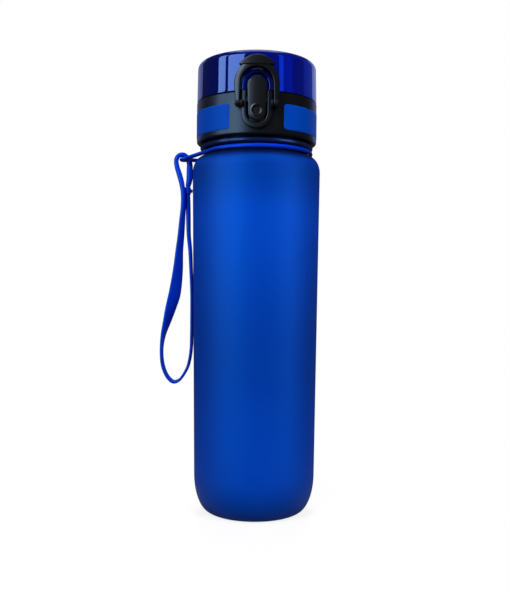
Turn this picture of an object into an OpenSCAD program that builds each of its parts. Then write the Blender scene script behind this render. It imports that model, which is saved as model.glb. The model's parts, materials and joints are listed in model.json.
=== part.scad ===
// Sports squeeze bottle: frosted body, screw lid with a flip cap, latch, lock ring and wrist strap.
// Millimetres, +Z up. The origin is the centre of the foot, the latch faces -Y and the strap hangs at -X.

/* [Bottle] */
// Radius of the body at the shoulder
body_r = 35.2; // [34.6:0.1:35.6]
// Radius of the body above the rounded foot
foot_top_r = 33.3; // [32.4:0.1:34.2]
// Width of the rounded foot's corner
foot_corner_w = 8.6; // [6:0.1:10]
// Height of the rounded foot's corner
foot_corner_h = 20.3; // [14:0.1:26]
// Rise of the hollow under the foot
push_up = 2.5; // [1:0.1:4]
// Wall thickness of the body
wall = 1.8; // [1.4:0.1:2.2]
// Height where the shoulder starts
shoulder_z = 186.5; // [170:0.1:186.5]
// Outer radius of the neck
neck_r = 28.6; // [28:0.1:28.8]
// Radius of the round bead under the lid
bead_r = 31.1; // [30.6:0.1:32]
// Height of the mouth's rim
rim_z = 217.5; // [216:0.1:217.6]
// Radius of the mouth
mouth_r = 26.4; // [24:0.1:26.6]

/* [Lid] */
// Outer radius of the collar
collar_r = 33.05; // [32.9:0.05:33.2]
// Height of the collar's lower edge
collar_z = 202; // [201.8:0.1:202.4]
// Height of the joint between the collar and the flip cap
joint_z = 224; // [224:0.1:224.1]
// Height of the flip cap's top
top_z = 246; // [245:0.1:248]
// Outer radius of the threaded core
core_r = 31.2; // [31:0.05:31.3]
// Bore of the threaded core
core_bore_r = 29.75; // [29.7:0.05:29.9]
// Outer radius of the spout
spout_r = 12.5; // [11:0.1:13]
// Height of the spout's lip
spout_z = 234; // [230:0.1:234]
// Half of the black gap between the grip panels, seen from above, in degrees
panel_gap = 24.5; // [22:0.5:30]
// Depth of the grip panels
panel_t = 0.9; // [0.6:0.1:1]

/* [Latch] */
// Half width of the raised frame around the button
frame_hw = 8.4; // [8.2:0.1:8.4]
// Half width of the hole in that frame
frame_hole_hw = 6; // [5.6:0.1:6.2]
// Width of the button at its top
button_top_w = 10.1; // [9:0.1:10.4]
// Width of the button at its lower end
button_low_w = 9; // [8:0.1:10]
// Outer radius of the lock ring, seen from the front
ring_r = 11.7; // [11.4:0.1:12.4]
// Inner radius of the lock ring
ring_hole_r = 9.2; // [9:0.1:9.4]

/* [Strap] */
// Diameter of the neck loop's cord
loop_d = 2.2; // [1.8:0.1:2.2]
// Width of the flat part of the wrist strap
strap_w = 7; // [5:0.5:8]
// Thickness of the flat part of the wrist strap
strap_t = 1.5; // [1.2:0.1:1.6]

/* [Hidden] */
$fn = 96;

cut = 0.1;                 // how far a cutting solid runs past the face that it opens
gap = 0.3;                 // clearance between pieces that move past each other
foot_ring_w = 3.7;         // the flat ring that the bottle stands on
shoulder_h = 8.7;
shoulder_inner_h = 7.1;
bead_low_z = 198.4;
bead_high_z = 201.4;
bead_chamfer = 0.5;
rim_chamfer = 0.5;
thread_h = 0.9;
thread_root_w = 2.4;
thread_crest_w = 1;
thread_pitch = 4.5;
thread_z = 206.5;

collar_bore_r = core_bore_r + 0.15;
collar_corner_r = 1;
panel_low_z = collar_z + 2.6;
panel_h = 14;

core_low_z = 203.5;
deck_low_z = 219.4;
deck_z = 221.6;
spout_foot = 1.5;
spout_lip_w = 2;
gasket_in_r = mouth_r + 0.3;
gasket_out_r = core_bore_r - 0.2;
gasket_z = rim_z + 0.2;
gasket_t = 1.6;
cap_wall = 1.8;
cap_low_z = joint_z + gap;
cap_low_r = 32.9;
cap_high_r = 32.6;
cap_fillet = 3.5;
liner_r = 30.6;
liner_t = 1.2;
liner_low_z = 225.5;
liner_top_z = top_z - cap_wall - gap;
seal_boss_r = 13;
seal_z = spout_z + gap;
seal_t = 2.7;

hinge_y = 34;
hinge_z = joint_z + 0.15;
knuckle_r = 2.6;
hinge_pin_r = 1.2;
hinge_pin_half = 10.4;
running = 0.08;            // radial play of a bore on its pin
through = 14;              // half length of a bore that runs right through
base_knuckle = [6.5, 10];  // start and end along X, mirrored
cap_knuckle = [3, 6.2];
cap_knuckle_h = 5;
cap_knuckle_depth = hinge_y - cap_low_r + cap_wall + 0.6;
bracket_y = 29;
bracket_foot_y = 31.5;
bracket_low_z = 215;
bracket_corner_z = 221;
notch_y = 28;
notch_side = 0.5;
notch_z = 227.4;

frame_low_cz = 213.6;
frame_hole_low_cz = 212.8;
frame_high_cz = 227.1;
frame_hole_high_cz = 226.9;
frame_face_r = 34.4;
arch_face_r = 34.2;
button_face_r = 35;
button_back_r = 33.4;
button_high_z = 226.45;
button_low_z = 213.1;
dimple_z = 213.4;
dimple_r = 2.65;
latch_y = -32.6;
latch_z = 219.5;
latch_pin_r = 0.7;
latch_barrel_r = 1.4;
latch_barrel = [2.3, 5.2];
latch_pin_half = 7.6;
latch_web_t = 1.6;         // from each barrel forward to the button's back
spring_relief = [-2.2, 2.2];
spring_relief_r = 1.5;
core_relief_y = -30.9;
core_relief_depth = 5;
core_relief_h = 6;
dimple_depth = 0.5;

ring_cz = 227.2;
ring_in_r = 34.6;
ring_out_r = 37;
visor_r = 11.6;
visor_cz = 230;
visor_hw = 9.1;
visor_low_z = 236.6;
visor_out_r = 37.6;
pivot_y = -34;
pivot_z = 217.4;
trunnion_r = 1;
lug_r = 2;
eye_r = 1.9;
lug_x = [7.2, 8.65];
eye_x = [8.9, 11];
trunnion_end_x = 11.4;

// The neck loop: round the neck, then out to a narrow bight at -X.
loop_r = loop_d / 2;
loop_round_r = 30;
loop_z = 196.6;
bight_x = -38.6;
bight_r = 3;
bight_angle = acos(loop_round_r / norm([bight_x, bight_r])) + atan(bight_r / -bight_x);
bight_drop = 0.125;        // fall of the loop's two strands per millimetre towards the bight
bight_start_x = -loop_round_r * cos(bight_angle);
loop_tilt = 0.006;         // fall of the round part of the loop per millimetre towards -X
loop_steps = 43;
strand_steps = 5;
bight_steps = 6;

// The wrist strap's route, from the clasp over the bight and round: x, y, z, half width,
// half thickness, and how far the width turns out of the Y direction in degrees.
round_h = 1.3;
flat_w = strap_w / 2;
flat_t = strap_t / 2;
strap_route = [
    [-38, 0, 178.6, 1.3, 1.3, 0],
    [-37.1, 0, 183, 1.6, 1.75, 0],
    [-37, 0, 188, 1.6, 1.75, 0],
    [-37.1, 0, 191.8, 1.5, 1.6, 0],
    [-38.3, 0, 194.9, round_h, round_h, 0],
    [-40, 0, 196.4, round_h, round_h, 0],
    [-42, 0, 196.6, round_h, round_h, 0],
    [-43.8, 0, 195.4, round_h, round_h, 0],
    [-44.5, 0, 193, round_h, round_h, 0],
    [-43.9, -0.3, 189.5, 1.4, 1.4, 0],
    [-42.6, -0.9, 185.5, 1.5, 1.5, 0],
    [-41.2, -1.9, 180.5, 1.45, 1.45, 0],
    [-40.3, -2.6, 175, 1.4, 1.3, 20],
    [-40.2, -2.6, 168, 1.5, 1.2, 40],
    [-40.8, -2, 160, 1.8, 1, 55],
    [-41.5, -1.4, 151.5, 2, 1, 60],
    [-42.4, -0.8, 143, 2.3, 0.95, 60],
    [-43.2, -0.4, 132, 3, 0.85, 62],
    [-44.8, 0, 120, flat_w, flat_t, 66],
    [-46.8, 0, 112.3, flat_w, flat_t, 52],
    [-48.9, 0, 104.5, flat_w, flat_t, 30],
    [-51, 0, 96.6, flat_w, flat_t, 10],
    [-51.95, 0, 88.8, flat_w, flat_t, 0],
    [-51.5, 0, 81, flat_w, flat_t, 0],
    [-49.6, 0, 75, flat_w, flat_t, 0],
    [-47, 0, 71.4, flat_w, flat_t, 0],
    [-44.6, 0, 70.3, flat_w, flat_t, 0],
    [-41.8, 0, 71.5, flat_w, flat_t, 0],
    [-39.2, 0, 75, flat_w, flat_t, 0],
    [-36.9, 0, 80, flat_w, flat_t, 0],
    [-35.5, 0, 88, flat_w, flat_t, 0],
    [-35.25, 0, 96, flat_w, flat_t, 0],
    [-35.2, 0, 106, flat_w, flat_t, 0],
    [-35.3, 0, 120, flat_w, flat_t, 0],
    [-35.85, 0, 133, 3.2, 0.85, 0],
    [-36.4, 0, 143.5, 2.8, 1, 0],
    [-37.25, 0, 152, 2.3, 1.1, 0],
    [-37.5, 0, 160, 1.9, 1.25, 0],
    [-37.7, 0, 168, 1.5, 1.35, 0],
    [-37.9, 0, 174.4, 1.3, 1.3, 0]
];

clasp_low_z = 174.4;
clasp_high_z = 178.6;
clasp_x = -38;
clasp_r = 1.8;
knob_z = 176.5;
knob_r = 1.1;
knob_length = 2.4;

function arc(cx, cz, rx, rz, from, to, steps) =
    [for (i = [0:steps]) let (a = from + (to - from) * i / steps) [cx + rx * cos(a), cz + rz * sin(a)]];

// ---- bottle ----

function body_outline() = concat(
    arc(0, 0, foot_top_r - foot_corner_w - foot_ring_w, push_up, 90, 0, 6),
    arc(foot_top_r - foot_corner_w, foot_corner_h, foot_corner_w, foot_corner_h, -90, 0, 10),
    arc(neck_r, shoulder_z, body_r - neck_r, shoulder_h, 0, 90, 8),
    [[neck_r, bead_low_z], [bead_r - bead_chamfer, bead_low_z], [bead_r, bead_low_z + bead_chamfer],
     [bead_r, bead_high_z - bead_chamfer], [bead_r - bead_chamfer, bead_high_z], [neck_r, bead_high_z],
     [neck_r, rim_z - rim_chamfer], [neck_r - rim_chamfer, rim_z], [mouth_r, rim_z]],
    arc(mouth_r, shoulder_z, body_r - wall - mouth_r, shoulder_inner_h, 90, 0, 8),
    arc(foot_top_r - foot_corner_w, foot_corner_h, foot_corner_w - wall, foot_corner_h - wall - push_up,
        0, -90, 10),
    [[0, wall + push_up]]);

module bottle_body() {
    color("royalblue") rotate_extrude() {
        polygon(body_outline());
        for (turn = [0:1])
            translate([neck_r - cut, thread_z + turn * thread_pitch])
                polygon([[0, -thread_root_w / 2], [thread_h + cut, -thread_crest_w / 2],
                         [thread_h + cut, thread_crest_w / 2], [0, thread_root_w / 2]]);
    }
}

// ---- lid ----

module along_x(from, to, r) {
    translate([from, 0, 0]) rotate([0, 90, 0]) cylinder(h = to - from, r = r, $fn = 48);
}

module both_sides() {
    children();
    mirror([1, 0, 0]) children();
}

// A solid with the given front outline, curved in plan between two radii.
module on_front(r_in, r_out) {
    intersection() {
        rotate([90, 0, 0]) linear_extrude(height = r_out + 5) children();
        difference() {
            translate([0, 0, collar_z]) cylinder(h = top_z - collar_z, r = r_out);
            translate([0, 0, collar_z - cut]) cylinder(h = top_z - collar_z + 2 * cut, r = r_in);
        }
    }
}

module frame_outline(half_w, low_cz, high_cz) {
    translate([0, low_cz]) circle(r = half_w);
    translate([-half_w, low_cz]) square([2 * half_w, high_cz - low_cz]);
    translate([0, high_cz]) circle(r = half_w);
}

module below(z) {
    intersection() {
        children();
        translate([-50, 0]) square([100, z]);
    }
}

module above(z) {
    intersection() {
        children();
        translate([-50, z]) square([100, 100]);
    }
}

// A band of the collar's skin beside the latch, where a grip panel sits.
module panel_band(play) {
    rotate([0, 0, panel_gap - 90]) rotate_extrude(angle = 180 - 2 * panel_gap)
        translate([collar_r - panel_t - play, panel_low_z])
            square([panel_t + 5 * play, panel_h]);
}

module lid_collar() {
    color("#202226") difference() {
        union() {
            rotate_extrude() polygon(concat(
                [[collar_bore_r, collar_z]],
                arc(collar_r - collar_corner_r, collar_z + collar_corner_r, collar_corner_r, collar_corner_r,
                    -90, 0, 4),
                [[collar_r, joint_z], [core_r, joint_z], [core_r, core_low_z], [collar_bore_r, core_low_z]]));
            on_front(core_r, frame_face_r)
                below(joint_z) frame_outline(frame_hw, frame_low_cz, frame_high_cz);
            both_sides() {
                translate([0, pivot_y, pivot_z]) along_x(lug_x[0], lug_x[1], lug_r);
                translate([0, pivot_y, pivot_z]) along_x(lug_x[0], trunnion_end_x, trunnion_r);
            }
            both_sides() difference() {
                union() {
                    translate([0, hinge_y, hinge_z]) along_x(base_knuckle[0], base_knuckle[1], knuckle_r);
                    translate([base_knuckle[0], 0, 0]) rotate([90, 0, 90])
                        linear_extrude(height = base_knuckle[1] - base_knuckle[0])
                            polygon([[bracket_y, bracket_low_z], [bracket_foot_y, bracket_low_z],
                                     [hinge_y + knuckle_r, bracket_corner_z],
                                     [hinge_y + knuckle_r, hinge_z], [bracket_y, hinge_z]]);
                }
                translate([0, 0, collar_z]) cylinder(h = top_z - collar_z, r = core_r);
            }
        }
        both_sides() panel_band(cut);
        // the latch button's pocket
        on_front(core_r - 1, frame_face_r + 2)
            below(joint_z + 1) frame_outline(frame_hole_hw, frame_hole_low_cz, frame_hole_high_cz);
        translate([0, latch_y, latch_z]) along_x(-latch_pin_half, latch_pin_half, latch_pin_r);
        // room for the flip cap's knuckles and the hinge pin's bore
        translate([-base_knuckle[0] + cut, bracket_y, hinge_z - knuckle_r - gap - cut])
            cube([2 * (base_knuckle[0] - cut), 10, 10]);
        translate([0, hinge_y, hinge_z]) along_x(-through, through, hinge_pin_r);
    }
}

module lid_core() {
    color("#2a2c31") difference() {
        rotate_extrude() polygon(concat(
            [[core_bore_r, core_low_z], [core_r, core_low_z], [core_r, deck_z],
             [spout_r + spout_foot, deck_z], [spout_r, deck_z + spout_foot]],
            arc(spout_r - spout_lip_w / 2, spout_z - spout_lip_w / 2, spout_lip_w / 2, spout_lip_w / 2,
                0, 180, 6),
            [[spout_r - spout_lip_w, deck_low_z], [core_bore_r, deck_low_z]]));
        // room behind the latch button's pin
        translate([-frame_hole_hw, core_relief_y - core_relief_depth, latch_z - core_relief_h / 2])
            cube([2 * frame_hole_hw, core_relief_depth, core_relief_h]);
    }
}

module grip_panel_left() {
    color("#0a4cc0") mirror([1, 0, 0]) panel_band(0);
}

module grip_panel_right() {
    color("#0a4cc0") panel_band(0);
}

module lid_gasket() {
    color("#d8dcde") rotate_extrude() translate([gasket_in_r, gasket_z])
        square([gasket_out_r - gasket_in_r, gasket_t]);
}

// ---- flip cap ----

function cap_outline() = concat(
    [[cap_low_r - cap_wall, cap_low_z], [cap_low_r, cap_low_z]],
    arc(cap_high_r - cap_fillet, top_z - cap_fillet, cap_fillet, cap_fillet, 0, 90, 8),
    [[0, top_z], [0, top_z - cap_wall]],
    arc(cap_high_r - cap_fillet, top_z - cap_fillet, cap_fillet - cap_wall, cap_fillet - cap_wall, 90, 0, 5));

module flip_cap() {
    color("#10189a") difference() {
        union() {
            difference() {
                union() {
                    rotate_extrude() polygon(cap_outline());
                    on_front(cap_low_r - 1, arch_face_r) difference() {
                        above(cap_low_z) frame_outline(frame_hw, frame_low_cz, frame_high_cz);
                        frame_outline(frame_hole_hw, frame_hole_low_cz, frame_hole_high_cz);
                    }
                }
                // the notch that lets the knuckles turn
                translate([-base_knuckle[1] - notch_side, notch_y, cap_low_z - 1])
                    cube([2 * (base_knuckle[1] + notch_side), 10, notch_z - cap_low_z + 1]);
            }
            both_sides() {
                translate([0, hinge_y, hinge_z]) along_x(cap_knuckle[0], cap_knuckle[1], knuckle_r);
                translate([cap_knuckle[0], cap_low_r - cap_wall, hinge_z])
                    cube([cap_knuckle[1] - cap_knuckle[0], cap_knuckle_depth, cap_knuckle_h]);
            }
        }
        translate([0, hinge_y, hinge_z]) along_x(-through, through, hinge_pin_r + running);
    }
}

module cap_liner() {
    color("#15161c") rotate_extrude() polygon([
        [liner_r - liner_t, liner_low_z], [liner_r, liner_low_z], [liner_r, liner_top_z - 2],
        [liner_r - 2, liner_top_z], [0, liner_top_z], [0, liner_top_z - liner_t],
        [seal_boss_r - 2, liner_top_z - liner_t], [seal_boss_r - 2, seal_z + seal_t],
        [seal_boss_r, seal_z + seal_t], [seal_boss_r, liner_top_z - liner_t],
        [liner_r - 2, liner_top_z - liner_t], [liner_r - liner_t, liner_top_z - 2 - liner_t / 2]]);
}

module spout_seal() {
    color("#e4e6e8") rotate_extrude() polygon([
        [0, seal_z - 1.2], [7.5, seal_z - 2], [8.6, seal_z - 1.6], [9.4, seal_z], [spout_r + 0.8, seal_z],
        [spout_r + 1.2, seal_z + 0.4], [spout_r + 1.2, seal_z + seal_t], [seal_boss_r - 2.2, seal_z + seal_t],
        [seal_boss_r - 2.2, seal_z + seal_t + 2], [seal_boss_r - 3.6, seal_z + seal_t + 2],
        [seal_boss_r - 3.6, seal_z + 1.4], [0, seal_z + 0.6]]);
}

module hinge_pin() {
    color("silver") translate([0, hinge_y, hinge_z]) along_x(-hinge_pin_half, hinge_pin_half, hinge_pin_r);
}

// A closed tube of SIDES sides swept along a list of points.
function unit(v) = v / norm(v);
function tangent(path, i) =
    unit(path[min(i + 1, len(path) - 1)] - path[max(i - 1, 0)]);

module swept(path, rings, sides) {
    last = len(path) - 1;
    polyhedron(
        points = [for (ring = rings) each ring],
        faces = concat(
            [[for (j = [sides - 1:-1:0]) j]],
            [for (i = [0:last - 1]) for (j = [0:sides - 1])
                let (a = i * sides + j, b = i * sides + (j + 1) % sides)
                each [[a, b, b + sides], [a, b + sides, a + sides]]],
            [[for (j = [0:sides - 1]) last * sides + j]]));
}

// A coil spring round the X axis, with a short straight leg at each end.
module coil(mean_r, wire_r, half_length, turns, leg, leg_from) {
    steps = turns * 14;
    sides = 6;
    winding = [for (i = [0:steps]) let (a = leg_from + 360 * turns * i / steps)
        [-half_length + 2 * half_length * i / steps, mean_r * cos(a), mean_r * sin(a)]];
    path = concat([winding[0] + leg * [0, sin(leg_from), -cos(leg_from)]], winding);
    rings = [for (i = [0:len(path) - 1])
        let (t = tangent(path, i), u = unit(cross(t, [1, 0, 0])), v = cross(t, u))
        [for (j = [0:sides - 1]) let (a = 360 * j / sides) path[i] + wire_r * (cos(a) * u + sin(a) * v)]];
    swept(path, rings, sides);
}

module hinge_spring() {
    color("gainsboro") translate([0, hinge_y, hinge_z])
        coil(mean_r = 1.75, wire_r = 0.32, half_length = 2.1, turns = 5, leg = 2.2, leg_from = 0);
}

// ---- latch ----

module button_outline() {
    translate([0, button_high_z]) circle(r = button_top_w / 2);
    translate([0, button_low_z]) circle(r = button_low_w / 2);
    polygon([[-button_top_w / 2, button_high_z], [button_top_w / 2, button_high_z],
             [button_low_w / 2, button_low_z], [-button_low_w / 2, button_low_z]]);
}

module latch_button() {
    color("#26282c") difference() {
        union() {
            on_front(button_back_r, button_face_r) button_outline();
            both_sides() translate([0, latch_y, latch_z]) {
                along_x(latch_barrel[0], latch_barrel[1], latch_barrel_r);
                translate([latch_barrel[0], -latch_web_t, -latch_barrel_r])
                    cube([latch_barrel[1] - latch_barrel[0], latch_web_t, 2 * latch_barrel_r]);
            }
        }
        translate([0, -button_face_r - 1, dimple_z]) rotate([-90, 0, 0])
            cylinder(h = 1 + dimple_depth, r = dimple_r);
        translate([0, latch_y, latch_z]) {
            along_x(-through, through, latch_pin_r + running);
            along_x(spring_relief[0], spring_relief[1], spring_relief_r);
        }
    }
}

module latch_pin() {
    color("#202020") translate([0, latch_y, latch_z])
        along_x(-latch_pin_half, latch_pin_half, latch_pin_r);
}

module latch_spring() {
    color("gainsboro") translate([0, latch_y, latch_z])
        coil(mean_r = 1.05, wire_r = 0.22, half_length = 1.6, turns = 4, leg = 1, leg_from = 90);
}

module lock_ring() {
    color("#26282c") difference() {
        union() {
            on_front(ring_in_r, ring_out_r) difference() {
                union() {
                    above(ring_cz) translate([0, ring_cz]) circle(r = ring_r);
                    both_sides() polygon([[eye_x[0], pivot_z], [eye_x[1], pivot_z], [ring_r, ring_cz],
                                          [ring_hole_r - 0.5, ring_cz]]);
                }
                translate([0, ring_cz]) circle(r = ring_hole_r);
            }
            on_front(ring_in_r, visor_out_r) difference() {
                intersection() {
                    translate([0, visor_cz]) circle(r = visor_r);
                    translate([-visor_hw, visor_low_z]) square([2 * visor_hw, 10]);
                }
                translate([0, ring_cz]) circle(r = ring_hole_r);
            }
            both_sides() translate([0, pivot_y, pivot_z]) along_x(eye_x[0], eye_x[1], eye_r);
        }
        translate([0, pivot_y, pivot_z]) along_x(-through, through, trunnion_r + running);
    }
}

// ---- strap ----

function loop_height(x) = loop_z + loop_tilt * x - bight_drop * max(0, bight_start_x - x);

function loop_plan() = concat(
    [for (i = [0:loop_steps]) let (a = -180 + bight_angle + (360 - 2 * bight_angle) * i / loop_steps)
        [loop_round_r * cos(a), loop_round_r * sin(a)]],
    [for (i = [1:strand_steps - 1]) let (s = i / strand_steps)
        (1 - s) * loop_round_r * [-cos(bight_angle), sin(bight_angle)] + s * [bight_x, bight_r]],
    [for (i = [0:bight_steps]) let (a = 180 * i / bight_steps)
        [bight_x - bight_r * sin(a), bight_r * cos(a)]],
    [for (i = [1:strand_steps - 1]) let (s = i / strand_steps)
        s * loop_round_r * [-cos(bight_angle), -sin(bight_angle)] + (1 - s) * [bight_x, -bight_r]]);

module neck_loop() {
    sides = 8;
    path = [for (p = loop_plan()) [p[0], p[1], loop_height(p[0])]];
    count = len(path);
    rings = [for (i = [0:count - 1])
        let (t = unit(path[(i + 1) % count] - path[(i + count - 1) % count]),
             u = unit(cross(t, [0, 0, 1])), v = cross(u, t))
        [for (j = [0:sides - 1]) let (a = 360 * j / sides) path[i] + loop_r * (cos(a) * u + sin(a) * v)]];
    color("#0a3fd0") polyhedron(
        points = [for (ring = rings) each ring],
        faces = [for (i = [0:count - 1]) for (j = [0:sides - 1])
            let (k = (j + 1) % sides, n = (i + 1) % count)
            each [[i * sides + j, n * sides + j, n * sides + k],
                  [i * sides + j, n * sides + k, i * sides + k]]]);
}

module wrist_strap() {
    sides = 8;
    path = [for (p = strap_route) [p[0], p[1], p[2]]];
    rings = [for (i = [0:len(path) - 1])
        let (t = tangent(path, i), n = unit(cross(t, [0, 1, 0])), y = cross(n, t),
             turn = strap_route[i][5], w = cos(turn) * y + sin(turn) * n, d = cross(t, w))
        [for (j = [0:sides - 1]) let (a = 360 * j / sides)
            path[i] + strap_route[i][3] * cos(a) * w + strap_route[i][4] * sin(a) * d]];
    color("#0a3fd0") swept(path, rings, sides);
}

module strap_clasp() {
    color("#0a34b0") {
        translate([clasp_x, 0, clasp_low_z]) cylinder(h = clasp_high_z - clasp_low_z, r = clasp_r, $fn = 32);
        translate([0, 0, knob_z]) along_x(clasp_x, clasp_x + knob_length, knob_r);
    }
}

bottle_body();
lid_collar();
lid_core();
grip_panel_left();
grip_panel_right();
lid_gasket();
flip_cap();
cap_liner();
spout_seal();
hinge_pin();
hinge_spring();
latch_button();
latch_pin();
latch_spring();
lock_ring();
neck_loop();
wrist_strap();
strap_clasp();
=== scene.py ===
"""Sports squeeze bottle: detailed pieces, materials, studio light and camera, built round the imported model.

Lengths inside this script are in millimetres, as in the model's own source, and mesh_object() turns them
into metres.
"""

import json
import math

import bmesh
import bpy
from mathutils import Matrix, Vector

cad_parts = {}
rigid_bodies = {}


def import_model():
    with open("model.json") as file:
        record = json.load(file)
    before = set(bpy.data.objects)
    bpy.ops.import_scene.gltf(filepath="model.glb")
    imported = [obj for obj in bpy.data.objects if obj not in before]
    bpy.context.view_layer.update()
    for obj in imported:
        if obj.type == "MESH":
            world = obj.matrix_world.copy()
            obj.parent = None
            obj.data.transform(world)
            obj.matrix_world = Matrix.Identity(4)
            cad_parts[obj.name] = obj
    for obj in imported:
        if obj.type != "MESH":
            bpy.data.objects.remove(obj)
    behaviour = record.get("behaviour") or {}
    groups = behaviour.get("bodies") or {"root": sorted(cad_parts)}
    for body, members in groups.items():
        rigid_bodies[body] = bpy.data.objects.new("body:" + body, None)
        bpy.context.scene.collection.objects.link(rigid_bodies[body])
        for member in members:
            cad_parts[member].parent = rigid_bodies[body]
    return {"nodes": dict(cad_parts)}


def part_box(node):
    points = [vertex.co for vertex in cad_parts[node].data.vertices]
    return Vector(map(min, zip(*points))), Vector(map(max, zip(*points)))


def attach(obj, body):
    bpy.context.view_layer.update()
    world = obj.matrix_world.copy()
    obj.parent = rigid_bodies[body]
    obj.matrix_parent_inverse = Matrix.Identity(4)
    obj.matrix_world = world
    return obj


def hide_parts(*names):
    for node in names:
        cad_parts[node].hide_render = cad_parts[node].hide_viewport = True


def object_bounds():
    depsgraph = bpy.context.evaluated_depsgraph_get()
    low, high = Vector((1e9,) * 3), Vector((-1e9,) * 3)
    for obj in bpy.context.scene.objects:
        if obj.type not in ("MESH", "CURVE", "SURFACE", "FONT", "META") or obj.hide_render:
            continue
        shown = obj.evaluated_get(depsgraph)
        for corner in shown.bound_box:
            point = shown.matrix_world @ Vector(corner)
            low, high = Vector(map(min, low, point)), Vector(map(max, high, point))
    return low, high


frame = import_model()
cad_low, cad_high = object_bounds()

MM = 0.001


def extent(node):
    """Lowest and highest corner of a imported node, in millimetres."""
    low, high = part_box(node)
    return [c / MM for c in low], [c / MM for c in high]


# ---- driving sizes, millimetres ----

_, BODY_HIGH = extent("bottle_body")
COLLAR_LOW, _ = extent("lid_collar")
CAP_LOW, CAP_HIGH = extent("flip_cap")
PIN_LOW, PIN_HIGH = extent("hinge_pin")

BODY_R = BODY_HIGH[0]
RIM_Z = BODY_HIGH[2]
COLLAR_Z = COLLAR_LOW[2]
COLLAR_R = 33.05
JOINT_Z = CAP_LOW[2] + 2.45        # seam of collar and cap, above the lowest point of the cap's knuckles
TOP_Z = CAP_HIGH[2]
HINGE_Y = (PIN_LOW[1] + PIN_HIGH[1]) / 2
HINGE_Z = (PIN_LOW[2] + PIN_HIGH[2]) / 2
CORE_R = 31.2
FRONT = -90.0                      # direction of the latch, degrees round Z


# ---- mesh helpers ----

def mesh_object(name, verts, faces, material, body, sharp=38.0):
    """A mesh object from millimetre points, smooth except at edges sharper than the angle given."""
    mesh = bpy.data.meshes.new(name)
    mesh.from_pydata([(x * MM, y * MM, z * MM) for x, y, z in verts], [], faces)
    mesh.validate()
    mesh.update()
    obj = bpy.data.objects.new(name, mesh)
    bpy.context.scene.collection.objects.link(obj)
    tidy_mesh(obj)
    mesh.shade_smooth()
    mesh.set_sharp_from_angle(angle=math.radians(sharp))
    mesh.materials.append(material)
    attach(obj, body)
    return obj


def tidy_mesh(obj):
    """Merges doubled points and turns every face outward."""
    bm = bmesh.new()
    bm.from_mesh(obj.data)
    bmesh.ops.remove_doubles(bm, verts=bm.verts, dist=1e-7)
    bmesh.ops.dissolve_degenerate(bm, edges=bm.edges, dist=1e-8)
    bmesh.ops.recalc_face_normals(bm, faces=bm.faces)
    bm.to_mesh(obj.data)
    bm.free()


def arc(cx, cz, rx, rz, start, end, steps):
    """Points along an ellipse, angles in degrees."""
    out = []
    for i in range(steps + 1):
        a = math.radians(start + (end - start) * i / steps)
        out.append((cx + rx * math.cos(a), cz + rz * math.sin(a)))
    return out


def between(start, end, steps):
    """The points inside a straight way of that many steps, without its two ends."""
    return [tuple(a + (b - a) * i / steps for a, b in zip(start, end)) for i in range(1, steps)]


def smooth_line(points, per_span):
    """A Catmull-Rom curve through the points, any number of values to a point."""
    padded = [points[0]] + points + [points[-1]]
    out = []
    for p0, p1, p2, p3 in zip(padded, padded[1:], padded[2:], padded[3:]):
        for s in range(per_span):
            t = s / per_span
            out.append(tuple(
                0.5 * (2 * b + (c - a) * t + (2 * a - 5 * b + 4 * c - d) * t * t
                       + (3 * b - a - 3 * c + d) * t ** 3)
                for a, b, c, d in zip(p0, p1, p2, p3)))
    out.append(points[-1])
    return out


def tube_faces(rings, around, closed=False, first=0):
    """Faces between rings of points that are listed one after the other from index first.

    A closed tube joins its last ring to its first. An open one gets a face over each end.
    """
    faces = []
    for i in range(rings if closed else rings - 1):
        here, there = first + i * around, first + (i + 1) % rings * around
        for j in range(around):
            k = (j + 1) % around
            faces.append((here + j, there + j, there + k, here + k))
    if not closed:
        faces.append(tuple(first + j for j in range(around)))
        faces.append(tuple(first + (rings - 1) * around + j for j in range(around)))
    return faces


def revolve(name, outline, material, body, steps=160, sharp=38.0):
    """Turns a closed outline of (r, z) points round Z. Points on the axis become poles."""
    verts, faces, rings = [], [], []
    for r, z in outline:
        if r < 1e-6:
            rings.append([len(verts)])
            verts.append((0.0, 0.0, z))
        else:
            rings.append(list(range(len(verts), len(verts) + steps)))
            for k in range(steps):
                a = 2 * math.pi * k / steps
                verts.append((r * math.cos(a), r * math.sin(a), z))
    for ring, following in zip(rings, rings[1:] + rings[:1]):
        if len(ring) == 1 and len(following) == 1:
            continue
        for k in range(steps):
            j = (k + 1) % steps
            if len(ring) == 1:
                faces.append((ring[0], following[k], following[j]))
            elif len(following) == 1:
                faces.append((ring[k], following[0], ring[j]))
            else:
                faces.append((ring[k], following[k], following[j], ring[j]))
    return mesh_object(name, verts, faces, material, body, sharp)


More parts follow.
